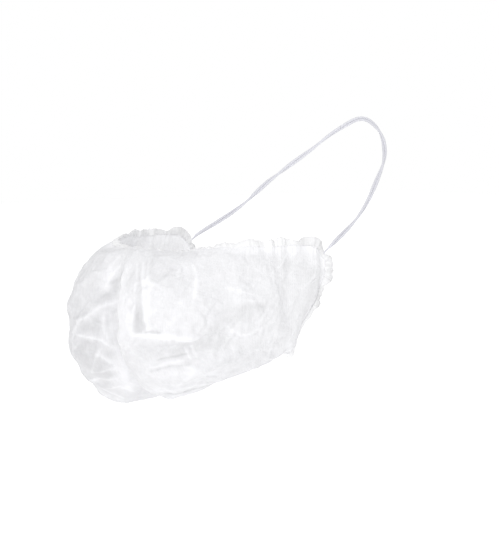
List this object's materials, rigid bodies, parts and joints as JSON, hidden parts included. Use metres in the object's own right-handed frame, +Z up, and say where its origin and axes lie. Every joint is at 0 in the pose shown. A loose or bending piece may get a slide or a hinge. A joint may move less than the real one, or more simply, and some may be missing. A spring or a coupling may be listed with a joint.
{
  "type": "disposable beard net",
  "caption": "Light nonwoven pouch that covers a beard: lobes puff out in front, a gathered hem runs round its edge and an elastic passes behind the head.",
  "frame": {"origin": "on the upright middle line of the head that wears it, level with the net's upper edge under the nose", "axes": "+Z up, the wearer faces -Y, the wearer's left is +X"},
  "size_m": [0.1591, 0.2466, 0.1984],
  "materials": {
    "nonwoven": "thin translucent white spunbonded polypropylene, soft matt with crumples and packing creases",
    "hem": "the same cloth folded over and gathered, whiter where it is doubled",
    "elastic": "off-white round elastic covered with textured yarn"
  },
  "bodies": {
    "root": {"pouch": "nonwoven", "rim_hem": "hem", "head_elastic": "elastic"}
  },
  "joints": []
}
